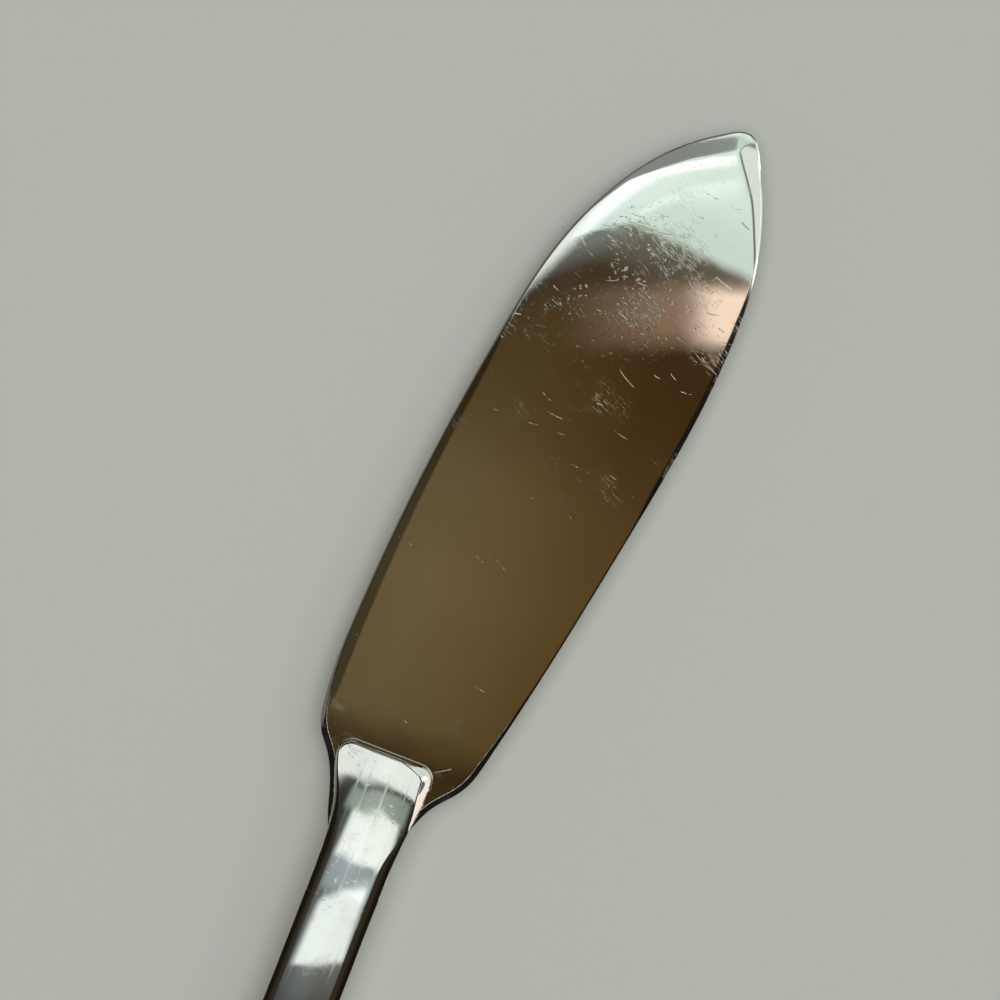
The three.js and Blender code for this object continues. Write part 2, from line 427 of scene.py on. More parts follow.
def waist(x):
    at_lip = np.clip(1 - (LIP_X - x) / LIP_RISE, 0, 1) ** 2
    return WAIST * (1 - at_lip - smooth_step(MOUTH_X - x, 0, HANDLE_RISE))


def grip_half(points, flat, half_width, half, crown, flank, rounding, slanted=0, fall=1):
    """Half thickness of neck or handle: crowned, with flanks that are rounded over a given width, or
    slanted where "slanted" is 1. They fall the full drop where "fall" is 1."""
    depth = depth_inside(points, flat) + flank
    share = np.clip(depth / rounding, 0, 1)
    top = half - waist(points[:, 0]) - crown * (points[:, 1] / half_width) ** 2
    top -= fall * ((1 - slanted) * FLANK_DROP * (1 - share) ** 2 + slanted * SLANT_DROP * (1 - share))
    return np.where(depth > 0, top, 0), depth


# %% Thickness of the whole forging
# A pair of places gives where a form begins and where it is whole.
LIP_CROWN = 0.3 * MM  # how much further the top falls at the lip, LIP_CROWN_WIDTH from the middle
LIP_CROWN_WIDTH = 6 * MM
LIP_CROWN_LENGTH = 32 * MM  # behind the lip, where the extra crown has gone
LIP_CROWN_FADE = 1.25  # above 1 it goes quickly at first
LIP_ROUNDING = 0.28 * MM  # width of the rounding at the lip
FLANK_ROUNDING_AT = (1 * MM, 12 * MM)  # behind the lip, where the flank's own rounding takes over
SLANT_ASIDE = (1 * MM, 4.5 * MM)  # from the middle towards the spine
SLANT_ENDS = (7 * MM, 10 * MM)  # behind the lip
SLANT_NARROWS, SLANT_WIDENS = (1 * MM, 8 * MM), (8 * MM, 13 * MM)  # behind the lip
SLANT_LEAST = 0.35 * MM  # width of the slanted face where it is narrowest
FOOT_FILLET = 0.15 * MM
LEAST_FILLET = 1e-6 * MM  # not 0, because the fillet is divided by
FILLET_FROM_EDGE = (1 * MM, 2.5 * MM)  # from the edge of the blade, which has no room for a fillet
LIP_WALL = 0.08 * MM  # width in plan of the steep wall below the rounded flank
neck_half_width = belly_line[0][1]


def forging_half(points):
    to_belly = distance_to(points, belly_line)
    to_spine = distance_to(points, spine_line)
    blade = blade_half(points, to_belly, to_spine)
    # The lip is rounded less than the flanks. Its spine corner is slanted instead, with a face that
    # narrows behind the lip until the rounded flank takes over.
    behind = LIP_X - points[:, 0]
    near_spine = smooth_step(-points[:, 1], *SLANT_ASIDE)
    slanted = near_spine * (1 - smooth_step(behind, *SLANT_ENDS))
    narrowed = smooth_step(behind, *SLANT_NARROWS) - smooth_step(behind, *SLANT_WIDENS)
    slant_width = FLANK - (FLANK - SLANT_LEAST) * narrowed
    rounding = LIP_ROUNDING + (FLANK - LIP_ROUNDING) * smooth_step(behind, *FLANK_ROUNDING_AT)
    rounding += near_spine * (slant_width - rounding)
    fall = 1 - near_spine * (1 - slant_width / FLANK)
    at_lip = np.clip(1 - behind / LIP_CROWN_LENGTH, 0, 1) ** LIP_CROWN_FADE
    half = GRIP_HALF - LIP_CROWN * at_lip * (points[:, 1] / LIP_CROWN_WIDTH) ** 2
    neck, depth = grip_half(
        points, neck_flat, neck_half_width, half, CROWN, FLANK, rounding, slanted, fall
    )
    fillet = FOOT_FILLET * smooth_step(np.minimum(to_belly, to_spine), *FILLET_FROM_EDGE)
    foot = blade + fillet * (1 - quarter_round(-depth / np.maximum(fillet, LEAST_FILLET)))
    wall = smooth_step(depth, 0, LIP_WALL)
    return np.maximum(foot, foot + (neck - foot) * wall)


forging_halves = forging_half(forging_plan.reshape(-1, 2)).reshape(forging_plan.shape[:2])
# At the outline the front meets the back.
forging_halves[:, [0, -1]] = 0
forging_halves[-1] = 0
print(f"forging half thickness up to {forging_halves.max() / MM:.2f} mm")

# %% [markdown]
# ## Tang
#
# Behind the mouth the forging goes on as a notched bar that nobody sees once the handle is cemented on.
# Its notches are read from the rim of the solid, so the finished mesh is still the whole piece.

# %% Rings of the tang
def is_tang_side(normal, corners):
    behind_mouth = max(c.x for c in corners) < MOUTH_X + CLOSE
    return abs(normal.z) < SLIGHT and normal.y > SLIGHT and behind_mouth


tang_side = corners_of("blade", is_tang_side)
TANG_HALF = tang_side[:, 2].max() - MID_Z
tang_rim = in_plan(tang_side)
tang_rim = tang_rim[np.argsort(tang_rim[:, 0], kind="stable")]
TANG_SIDE = 0.03  # share of each half section that goes into the upright side


def tang_ring(x, half_width, half_height):
    """A closed ring round a square bar, with as many points as a section of the blade."""
    share = np.linspace(-1, 1, LINES_ACROSS)
    y = half_width * np.clip(share / (1 - TANG_SIDE), -1, 1)
    z = half_height * np.clip((1 - abs(share)) / TANG_SIDE, 0, 1)
    front = np.column_stack([np.full_like(y, x), y, MID_Z + z])
    back = np.column_stack([np.full_like(y, x), y, MID_Z - z])[-2:0:-1]
    return np.vstack([front, back])


tang_root = tang_rim[-1][1]
tang_rings = [tang_ring(x, y, TANG_HALF) for x, y in tang_rim]
print(f"tang: {len(tang_rings)} rings, half thickness {TANG_HALF / MM:.2f} mm")

# %% [markdown]
# ## Skinning
#
# One function makes every mesh here. It joins ring to ring with four-sided faces, fills the two ends,
# and welds rings that close to a point. Faces that meet at a real corner keep a crisp edge.

# %% Skin rings into a mesh
CRISP_ANGLE = math.radians(38)
WELD = 1e-5 * MM  # points nearer to each other than this become one


def skinned(name, rings, closed=False):
    count, size = rings.shape[:2]
    index = np.arange(count * size).reshape(count, size)
    start = index if closed else index[:-1]
    end = np.roll(index, -1, axis=0) if closed else index[1:]
    faces = np.dstack([start, np.roll(start, -1, 1), np.roll(end, -1, 1), end])
    faces = faces.reshape(-1, 4).tolist()
    if not closed:
        faces += [index[0][::-1].tolist(), index[-1].tolist()]
    mesh = bpy.data.meshes.new(name)
    mesh.from_pydata(rings.reshape(-1, 3).tolist(), [], faces)
    shape = bmesh.new()
    shape.from_mesh(mesh)
    bmesh.ops.remove_doubles(shape, verts=shape.verts, dist=WELD)
    bmesh.ops.recalc_face_normals(shape, faces=shape.faces)
    open_edges = sum(not edge.is_manifold for edge in shape.edges)
    shape.to_mesh(mesh)
    shape.free()
    mesh.shade_smooth()
    mesh.set_sharp_from_angle(angle=CRISP_ANGLE)
    print(f"{name}: {len(mesh.polygons)} faces, {open_edges} open edges")
    piece = bpy.data.objects.new(name, mesh)
    bpy.context.scene.collection.objects.link(piece)
    return piece


# %% The forged blade
def facing_rings(plan, halves):
    """Closed rings: the front of each section from edge to edge, then its back the other way."""
    front = np.dstack([plan, MID_Z + halves])
    back = np.dstack([plan, MID_Z - halves])[:, -2:0:-1]
    return np.concatenate([front, back], axis=1)


forging_rings = facing_rings(forging_plan, forging_halves)
forged_blade = skinned("forged_blade", np.concatenate([tang_rings, forging_rings]))
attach(forged_blade, "root")
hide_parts("blade")

# %% [markdown]
# ## Handle halves
#
# Each half is a thin pressed shell. Its outer face follows the outline of the handle, crowned on top,
# rounded along the flanks and upright from there to the seam. Its inner face does the same one wall
# thickness inside. A solidify modifier could thicken one face into a shell, but its rim would not lie
# on the seam. So both faces are cut by the same sections, and one ring goes out over the top and comes
# back underneath.

# %% Outline of the handle
handle_middle = (shell_low.x + shell_high.x) / 2


def is_handle_rim(normal, corners):
    x = sum(c.x for c in corners) / len(corners)
    y = sum(c.y for c in corners) / len(corners)
    looks_out = normal.y * y + normal.x * (x - handle_middle) > 0
    return abs(normal.z) < SLIGHT and normal.x < END_ON and looks_out


def is_handle_lining(normal, corners):
    return abs(normal.z) < SLIGHT and normal.x < END_ON and not is_handle_rim(normal, corners)


handle_rim = in_plan(corners_of("handle_front_shell", is_handle_rim))
butt = handle_rim[handle_rim[:, 0].argmin()]
handle_rim = handle_rim[handle_rim[:, 0] > butt[0]]
left_line, _ = outline_of(handle_rim, butt, handle_rim[:, 1] > 0, -1)
WALL = shell_high.y - in_plan(corners_of("handle_front_shell", is_handle_lining))[:, 1].max()
print(f"handle outline: {len(left_line)} points a side, wall {WALL / MM:.2f} mm")

# %% Rings of a half shell
# Places are millimetres ahead of the butt, with the spacing of the sections there.
HANDLE_SPACING = {0: 0.1, 6: 0.5, 20: 1.4}


def handle_spacing(x):
    return np.interp((x - butt[0]) / MM, list(HANDLE_SPACING), list(HANDLE_SPACING.values())) * MM


def moved_in(line, distance):
    """The handle's line on the +y side, moved towards the inside."""
    heading = np.gradient(line, axis=0)
    heading /= np.hypot(*heading.T)[:, None]
    return line + distance * np.column_stack([-heading[:, 1], heading[:, 0]])


MIRROR = np.array([1, -1])
handle_shares = stations(left_line, handle_spacing)


def shell_face(inset, crown):
    """Points of the shell's outer face, or of the face that lies "inset" below it."""
    line = moved_in(left_line, inset)
    edge = points_at(line, handle_shares)
    plan = np.array([section(end, end * MIRROR, []) for end in edge])
    flank = FLANK - inset
    half_width = np.repeat(np.maximum(edge[:, 1], FLANK), LINES_ACROSS)
    half = GRIP_HALF - inset
    halves, _ = grip_half(plan.reshape(-1, 2), handle_flat, half_width, half, crown, flank, flank)
    halves = halves.reshape(plan.shape[:2])
    halves[:, [0, -1]] = 0  # the two ends of each section stand on the seam
    return np.dstack([plan, np.maximum(halves, SEAM_HALF)])


# The inside is left level, so that it clears the cement.
shell_rings = np.concatenate([shell_face(0, CROWN), shell_face(WALL, 0)[:, ::-1]], axis=1)
print(f"half shell: {len(shell_rings)} rings of {shell_rings.shape[1]} points")

# %% Both halves of the handle
HALVES = {"front_half": ("handle_front_shell", 1), "back_half": ("handle_back_shell", -1)}
for name, (node, side) in HALVES.items():
    half = skinned(name, shell_rings * [1, 1, side] + [0, 0, MID_Z])
    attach(half, "root")
    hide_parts(node)

# %% [markdown]
# ## Seam and solder
#
# The two halves are brazed edge to edge, and the seam was filed so nearly flush that only a fine line
# is left along the flanks. The mouth of the handle is soldered to the back of the neck the same way.
# Both joints are thin strips: one runs along the flanks and round the butt, the other is a closed ring.

# %% Brazed seam
FILED_BELOW = 0.02 * MM  # how far the filler metal lies below the steel beside it


def there_and_back(line):
    """The handle's line on the +y side, and on along the other side back to the mouth."""
    return np.vstack([line, (line * MIRROR)[-2::-1]])


seam_outer = there_and_back(points_at(moved_in(left_line, FILED_BELOW), handle_shares))
seam_inner = there_and_back(points_at(moved_in(left_line, WALL), handle_shares))


def at_height(plan, z):
    return np.column_stack([plan, np.full(len(plan), z)])


seam_rings = np.stack(
    [
        at_height(seam_outer, MID_Z - SEAM_HALF),
        at_height(seam_outer, MID_Z + SEAM_HALF),
        at_height(seam_inner, MID_Z + SEAM_HALF),
        at_height(seam_inner, MID_Z - SEAM_HALF),
    ],
    axis=1,
)
seam = skinned("brazed_seam", seam_rings)
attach(seam, "root")
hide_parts("seam_braze")

# %% Solder ring
TANG_CLEARANCE = 0.15 * MM  # between the ring and the tang inside it


def towards_middle(ring, distance):
    """A ring of the mouth shrunk towards its middle by a distance at its widest place."""
    middle = np.array([ring[0][0], 0, MID_Z])
    reach = abs(ring - middle).max()
    return middle + (ring - middle) * (1 - distance / reach)


ring_outer = towards_middle(forging_rings[0], FILED_BELOW)
ring_inner = tang_ring(MOUTH_X, tang_root + TANG_CLEARANCE, TANG_HALF + TANG_CLEARANCE)
backward = np.array([SHELL_FRONT_X - MOUTH_X, 0, 0])
solder_rings = np.stack([ring_outer, ring_outer + backward, ring_inner + backward, ring_inner], axis=1)
solder = skinned("solder_ring", solder_rings, closed=True)
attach(solder, "root")
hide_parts("bolster_solder")

# %% [markdown]
# ## Finishes
#
# A finish is a small network of nodes. Two helpers keep the networks short: one turns an sRGB hex value
# into the linear colour that Blender works in, and one adds a node with its settings and its links.

# %% Helpers for finishes


def colour(hex_value):
    """Linear RGBA from an sRGB hex value such as "#C8C4BC"."""
    parts = [int(hex_value[i : i + 2], 16) / 255 for i in (1, 3, 5)]
    return [p / 12.92 if p <= 0.04045 else ((p + 0.055) / 1.055) ** 2.4 for p in parts] + [1]


def add(tree, kind, inputs, **settings):
    """Adds a node, sets its properties, and fills its inputs with values or links to other nodes."""
    node = tree.nodes.new(kind)
    for name, value in settings.items():
        setattr(node, name, value)
    for key, value in inputs.items():
        if isinstance(value, bpy.types.NodeSocket):
            tree.links.new(value, node.inputs[key])
        else:
            node.inputs[key].default_value = value
    return node.outputs


def new_finish(name):
    finish = bpy.data.materials.new(name)
    finish.use_nodes = True
    finish.node_tree.nodes.clear()
    return finish, finish.node_tree


# %% [markdown]
# ### Mirror-polished stainless steel
#
# Stainless cutlery is ground, then buffed on cloth wheels until it mirrors the room. Buffing by hand
# leaves slow ripples, and fine hairlines along neck and handle. Use adds scratches, most of them across
# the blade, patches of finer scuffs, small pits near the tip, and a haze of marks too fine to see one
# by one.
#
# A scratch is a groove too narrow to see as a shape, but its sides catch light from elsewhere, so it
# shows pale on a dark reflection. Scratches could be painted on a picture and wrapped round the blade.
# Here each is a line at a random place and angle, one to a cell of a random mosaic, and several mosaics
# of different cell size lie on top of each other, so they stay sharp however close the camera comes.
#
# The other marks and all patches come from noise, whose values lie between 0 and 1. Where the noise is
# below a mark's value named FROM the mark is missing, and above its value named WHOLE it is whole.

# %% Scratches
# Cell size, length and width in mm, the share of the cells that hold a scratch, and how far ahead of
# the lip the set is at its densest.
SCRATCH_SETS = {
    "long": (10.0, 9.0, 0.06, 0.9, 36),
    "middling": (5.0, 4.5, 0.06, 1.0, 42),
    "short": (2.4, 2.0, 0.06, 0.9, 50),
}
SCRATCH_HEADING = math.radians(90)  # most scratches run across the blade, as it slid over the plate
SCRATCH_SPREAD = math.radians(35)
SHORTEST = 0.3  # length of a set's shortest scratch, as a share of its longest
BOW = 0.25  # how strongly scratches are curved; 0 is straight
CORE = 0.2  # share of a scratch's width that has its full strength
FAINTNESS = 1.5  # a power; the higher, the more of the scratches are faint
DENSE_WITHIN, SPARSE_BEYOND = 8, 48  # mm from the place where marks are densest
SPARSE = 0.05  # share of the scratches that is left beyond
BUSY_PATCH = 11.0  # mm, size of the patches where scratches lie close together
BUSY_FROM, BUSY_WHOLE = 0.38, 0.62
QUIET = 0.1  # share of the scratches that is left between those patches
BROKEN = 0.7  # mm between the places where a scratch skips
UNBROKEN_FROM, UNBROKEN_WHOLE = 0.4, 0.6
SKIPPED = 0.15  # share of its strength that is left at such a place
SET_SHIFT = 37  # mm by which each set's mosaic is moved, so that no two match


def away_from(tree, place, ahead_of_lip):
    """How many mm a place is from the section that lies so many mm ahead of the lip."""
    section_x = LIP_X / MM + ahead_of_lip
    x = add(tree, "ShaderNodeSeparateXYZ", {0: place})["X"]
    away = add(tree, "ShaderNodeMath", {0: x, 1: section_x}, operation="SUBTRACT")[0]
    return add(tree, "ShaderNodeMath", {0: away}, operation="ABSOLUTE")[0]


def scratch_mask(tree, place, cell, length, width, share, densest, shift):
    """1 on the scratches of one set and 0 beside them. The width is drawn coarser than the real one,
    which is a few hundredths of a millimetre and would not show."""
    moved = add(tree, "ShaderNodeVectorMath", {0: place, 1: (shift, shift / 3, 0)}, operation="ADD")[0]
    mosaic = {"Vector": moved, "Scale": 1 / cell}
    spot = add(tree, "ShaderNodeTexVoronoi", mosaic, voronoi_dimensions="2D")
    offset = add(tree, "ShaderNodeVectorMath", {0: moved, 1: spot["Position"]}, operation="SUBTRACT")[0]
    dice = add(tree, "ShaderNodeSeparateColor", {0: spot["Color"]})
    turns = {0: dice["Red"], 3: -SCRATCH_HEADING - SCRATCH_SPREAD, 4: -SCRATCH_HEADING + SCRATCH_SPREAD}
    turn = add(tree, "ShaderNodeMapRange", turns)[0]
    pose = {"Vector": offset, "Angle": turn}
    turned = add(tree, "ShaderNodeVectorRotate", pose, rotation_type="Z_AXIS")[0]
    part = add(tree, "ShaderNodeSeparateXYZ", {0: turned})
    # A slight bow keeps the lines from looking ruled.
    bow = add(tree, "ShaderNodeMath", {0: part["X"], 1: part["X"]}, operation="MULTIPLY")[0]
    bowed = {0: bow, 1: BOW / cell, 2: part["Y"]}
    bow = add(tree, "ShaderNodeMath", bowed, operation="MULTIPLY_ADD")[0]
    across = add(tree, "ShaderNodeMath", {0: bow}, operation="ABSOLUTE")[0]
    along = add(tree, "ShaderNodeMath", {0: part["X"]}, operation="ABSOLUTE")[0]
    thin = add(tree, "ShaderNodeMapRange", {0: across, 1: width, 2: CORE * width, 3: 0, 4: 1})[0]
    # The outer half of a scratch fades towards its ends.
    reaches = {0: dice["Green"], 3: SHORTEST * length / 2, 4: length / 2}
    reach = add(tree, "ShaderNodeMapRange", reaches)[0]
    ends = add(tree, "ShaderNodeMapRange", {0: along, 1: reach, 2: 0, 3: 0, 4: 2})[0]
    ends = add(tree, "ShaderNodeMath", {0: ends, 1: 1.0}, operation="MINIMUM")[0]
    # Scratches lie in patches, grow fewer away from the densest place, and most of them are faint.
    patches = {"Vector": spot["Position"], "Scale": 1 / BUSY_PATCH, "Detail": 1.0}
    patch = add(tree, "ShaderNodeTexNoise", patches)[0]
    patch = add(tree, "ShaderNodeMapRange", {0: patch, 1: BUSY_FROM, 2: BUSY_WHOLE, 3: QUIET, 4: 1})[0]
    away = away_from(tree, place, densest)
    shares = {0: away, 1: DENSE_WITHIN, 2: SPARSE_BEYOND, 3: share, 4: SPARSE * share}
    fewer = add(tree, "ShaderNodeMapRange", shares)[0]
    chance = add(tree, "ShaderNodeMath", {0: patch, 1: fewer}, operation="MULTIPLY")[0]
    strength = add(tree, "ShaderNodeMapRange", {0: dice["Blue"], 1: chance, 2: 0})[0]
    strength = add(tree, "ShaderNodeMath", {0: strength, 1: FAINTNESS}, operation="POWER")[0]
    skips = add(tree, "ShaderNodeTexNoise", {"Vector": place, "Scale": 1 / BROKEN, "Detail": 2.0})[0]
    strengths = {0: skips, 1: UNBROKEN_FROM, 2: UNBROKEN_WHOLE, 3: SKIPPED, 4: 1}
    skips = add(tree, "ShaderNodeMapRange", strengths)[0]
    line = add(tree, "ShaderNodeMath", {0: thin, 1: ends}, operation="MULTIPLY")[0]
    line = add(tree, "ShaderNodeMath", {0: line, 1: skips}, operation="MULTIPLY")[0]
    return add(tree, "ShaderNodeMath", {0: line, 1: strength}, operation="MULTIPLY")[0]


# %% Scuffs
# Sizes in mm, drawn coarser than they are so that they show.
SCUFF_LENGTH, SCUFF_WIDTH, SCUFF_PATCH = 1.6, 0.3, 5.0
SCUFF_FROM, SCUFF_WHOLE = 0.56, 0.74
SCUFF_PATCH_FROM, SCUFF_PATCH_WHOLE = 0.47, 0.65
SCUFF_HEADING = math.radians(65)
SCUFFED_AT = 44  # mm ahead of the lip
SCUFF_STRENGTH = (0.4, 0.06)  # there and far from there


def scuff_mask(tree, place):
    """Fine scuffs that lie side by side in patches, all much the same way, fainter than scratches."""
    pose = {"Vector": place, "Angle": -SCUFF_HEADING}
    turned = add(tree, "ShaderNodeVectorRotate", pose, rotation_type="Z_AXIS")[0]
    drawn_out = {0: turned, 1: (1 / SCUFF_LENGTH, 1 / SCUFF_WIDTH, 1)}
    lines = add(tree, "ShaderNodeVectorMath", drawn_out, operation="MULTIPLY")[0]
    streaks = {"Vector": lines, "Scale": 1.0, "Detail": 3.0, "Distortion": 2.0}
    lines = add(tree, "ShaderNodeTexNoise", streaks)[0]
    most, least = SCUFF_STRENGTH
    away = away_from(tree, place, SCUFFED_AT)
    strengths = {0: away, 1: DENSE_WITHIN, 2: SPARSE_BEYOND, 3: most, 4: least}
    strength = add(tree, "ShaderNodeMapRange", strengths)[0]
    limits = {0: lines, 1: SCUFF_FROM, 2: SCUFF_WHOLE, 3: 0, 4: strength}
    lines = add(tree, "ShaderNodeMapRange", limits)[0]
    patches = {"Vector": place, "Scale": 1 / SCUFF_PATCH, "Detail": 2.0}
    patch = add(tree, "ShaderNodeTexNoise", patches)[0]
    limits = {0: patch, 1: SCUFF_PATCH_FROM, 2: SCUFF_PATCH_WHOLE}
    patch = add(tree, "ShaderNodeMapRange", limits)[0]
    return add(tree, "ShaderNodeMath", {0: lines, 1: patch}, operation="MULTIPLY")[0]


# %% Pits
PIT_SIZE, PIT_CLUSTER = 0.5, 7.0  # mm; real pits are a tenth of that, too small to draw
PIT_FROM, PIT_WHOLE = 0.62, 0.75
CLUSTER_FROM, CLUSTER_WHOLE = 0.45, 0.65
# Places with the most pits: mm ahead of the lip and aside, and how many mm from there the pits begin to
# grow fewer and few are left.
PITTED = {(60, -2): (5, 14), (77, -8): (3, 5)}
PIT_STRENGTH = (0.12, 0.7)  # far from there and there
CLOSER = 0.12  # raises the noise of the clusters there, so that more of them lie there


def pit_mask(tree, place):
    """1 on small worn pits, which lie in clusters near the tip, and 0 beside them."""
    pits = add(tree, "ShaderNodeTexNoise", {"Vector": place, "Scale": 1 / PIT_SIZE, "Detail": 2.0})[0]
    pits = add(tree, "ShaderNodeMapRange", {0: pits, 1: PIT_FROM, 2: PIT_WHOLE})[0]
    pitted = 0
    for (ahead, aside), (near, far) in PITTED.items():
        middle = (LIP_X / MM + ahead, aside, TOP_Z / MM)
        away = add(tree, "ShaderNodeVectorMath", {0: place, 1: middle}, operation="DISTANCE")["Value"]
        here = add(tree, "ShaderNodeMapRange", {0: away, 1: far, 2: near})[0]
        pitted = add(tree, "ShaderNodeMath", {0: pitted, 1: here}, operation="MAXIMUM")[0]
    clusters = {"Vector": place, "Scale": 1 / PIT_CLUSTER, "Detail": 3.0}
    cluster = add(tree, "ShaderNodeTexNoise", clusters)[0]
    raised = {0: pitted, 1: CLOSER, 2: cluster}
    cluster = add(tree, "ShaderNodeMath", raised, operation="MULTIPLY_ADD")[0]
    cluster = add(tree, "ShaderNodeMapRange", {0: cluster, 1: CLUSTER_FROM, 2: CLUSTER_WHOLE})[0]
    least, most = PIT_STRENGTH
    strength = add(tree, "ShaderNodeMapRange", {0: pitted, 3: least, 4: most})[0]
    pits = add(tree, "ShaderNodeMath", {0: pits, 1: cluster}, operation="MULTIPLY")[0]
    return add(tree, "ShaderNodeMath", {0: pits, 1: strength}, operation="MULTIPLY")[0]


# %% Mirror-polished stainless steel
STEEL_CLEAN = "#C8C5BF"
STEEL_SMUDGED = "#BEBAB2"
STEEL_SCRATCHED = "#C0AE96"
SMUDGE_SIZE = 14.0  # mm
SMUDGE_FROM, SMUDGE_WHOLE = 0.3, 0.75
CLEAN_ROUGHNESS, SMUDGED_ROUGHNESS = 0.012, 0.035
SCRATCH_ROUGHNESS, SCRATCH_DEPTH = 0.4, 0.004 * MM
HAZE_SIZE = 5.0  # mm, patches of the finest scratches, too fine to draw one by one
HAZE_FROM, HAZE_WHOLE = 0.53, 0.78
HAZE_ROUGHNESS = 0.11
HAIRLINE_LENGTH, HAIRLINE_WIDTH = 16.0, 0.35  # mm; real ones are a tenth as wide and don't show
HAIRLINE_FROM, HAIRLINE_WHOLE = 0.55, 0.8
HAIRLINE_ROUGHNESS = 0.045
HAIRLINES_BEGIN = 2  # mm behind the lip, over which they come in
RIPPLE_SIZE, RIPPLE_HEIGHT = 5.0, 0.005 * MM  # mm between the waves that buffing by hand leaves


def polished_stainless_steel():
    finish, tree = new_finish("polished_stainless_steel")
    place = add(tree, "ShaderNodeTexCoord", {})["Object"]
    in_mm = add(tree, "ShaderNodeVectorMath", {0: place, "Scale": 1 / MM}, operation="SCALE")[0]
    smudges = {"Vector": in_mm, "Scale": 1 / SMUDGE_SIZE, "Detail": 5.0}
    smudge = add(tree, "ShaderNodeTexNoise", smudges)[0]
    shades = {"Factor": smudge, "A": colour(STEEL_CLEAN), "B": colour(STEEL_SMUDGED)}
    base = add(tree, "ShaderNodeMix", shades, data_type="RGBA")["Result"]
    pits = pit_mask(tree, in_mm)
    scuffs = scuff_mask(tree, in_mm)
    worn = add(tree, "ShaderNodeMath", {0: pits, 1: scuffs}, operation="MAXIMUM")[0]
    for number, values in enumerate(SCRATCH_SETS.values()):
        mask = scratch_mask(tree, in_mm, *values, SET_SHIFT * number)
        worn = add(tree, "ShaderNodeMath", {0: worn, 1: mask}, operation="MAXIMUM")[0]
    shades = {"Factor": worn, "A": base, "B": colour(STEEL_SCRATCHED)}
    base = add(tree, "ShaderNodeMix", shades, data_type="RGBA")["Result"]
    # The roughness adds up from the smudges, the drawn marks, the haze and the hairlines.
    polish = {0: smudge, 1: SMUDGE_FROM, 2: SMUDGE_WHOLE, 3: CLEAN_ROUGHNESS, 4: SMUDGED_ROUGHNESS}
    rough = add(tree, "ShaderNodeMapRange", polish)[0]
    rougher = {0: worn, 1: SCRATCH_ROUGHNESS, 2: rough}
    rough = add(tree, "ShaderNodeMath", rougher, operation="MULTIPLY_ADD")[0]
    patches = {
        "Vector": in_mm,
        "Scale": 1 / HAZE_SIZE,
        "Detail": 7.0,
        "Roughness": 0.65,
        "Distortion": 0.6,
    }
    haze = add(tree, "ShaderNodeTexNoise", patches)[0]
    limits = {0: haze, 1: HAZE_FROM, 2: HAZE_WHOLE, 3: 0, 4: HAZE_ROUGHNESS}
    haze = add(tree, "ShaderNodeMapRange", limits)[0]
    rough = add(tree, "ShaderNodeMath", {0: rough, 1: haze}, operation="ADD")[0]
    drawn_out = {0: in_mm, 1: (1 / HAIRLINE_LENGTH, 1 / HAIRLINE_WIDTH, 1 / HAIRLINE_WIDTH)}
    lines = add(tree, "ShaderNodeVectorMath", drawn_out, operation="MULTIPLY")[0]
    lines = add(tree, "ShaderNodeTexNoise", {"Vector": lines, "Scale": 1.0, "Detail": 2.0})[0]
    limits = {0: lines, 1: HAIRLINE_FROM, 2: HAIRLINE_WHOLE, 3: 0, 4: HAIRLINE_ROUGHNESS}
    lines = add(tree, "ShaderNodeMapRange", limits)[0]
    x = add(tree, "ShaderNodeSeparateXYZ", {0: in_mm})["X"]
    limits = {0: x, 1: LIP_X / MM, 2: LIP_X / MM - HAIRLINES_BEGIN}
    behind_lip = add(tree, "ShaderNodeMapRange", limits)[0]
    rougher = {0: lines, 1: behind_lip, 2: rough}
    rough = add(tree, "ShaderNodeMath", rougher, operation="MULTIPLY_ADD")[0]
    ripples = {"Vector": in_mm, "Scale": 1 / RIPPLE_SIZE, "Detail": 1.0}
    waves = add(tree, "ShaderNodeTexNoise", ripples)[0]
    bump = add(tree, "ShaderNodeBump", {"Height": waves, "Distance": RIPPLE_HEIGHT})[0]
    grooves = {"Height": worn, "Distance": SCRATCH_DEPTH, "Normal": bump}
    bump = add(tree, "ShaderNodeBump", grooves, invert=True)[0]
    metal = {"Base Color": base, "Metallic": 1.0, "Roughness": rough, "Normal": bump}
    surface = add(tree, "ShaderNodeBsdfPrincipled", metal)[0]
    add(tree, "ShaderNodeOutputMaterial", {"Surface": surface})
    return finish


steel = polished_stainless_steel()
for name in ("forged_blade", "front_half", "back_half"):
    bpy.data.objects[name].data.materials.append(steel)
print(f"{steel.name}: {len(steel.node_tree.nodes)} nodes")

# %% [markdown]
# ### Silver brazing alloy and cement
#
# The filler metal of the seam and the solder ring is a shade yellower than the steel, and a file left
# it less bright. The cement in the handle is a grey paste that set hard, with fine grains of sand in
# it.

# %% Filed silver braze and set cement
BRAZE_DARK, BRAZE_LIGHT = "#B4AC98", "#CFC8B6"
BRAZE_ROUGHNESS = 0.3
FILE_MARK, FILE_DEPTH = 0.3 * MM, 0.005 * MM  # from one file mark to the next, and their depth
CEMENT_DARK, CEMENT_LIGHT = "#6B655B", "#8C8578"
CEMENT_ROUGHNESS = 0.9
SAND_GRAIN, SAND_DEPTH = 0.4 * MM, 0.05 * MM


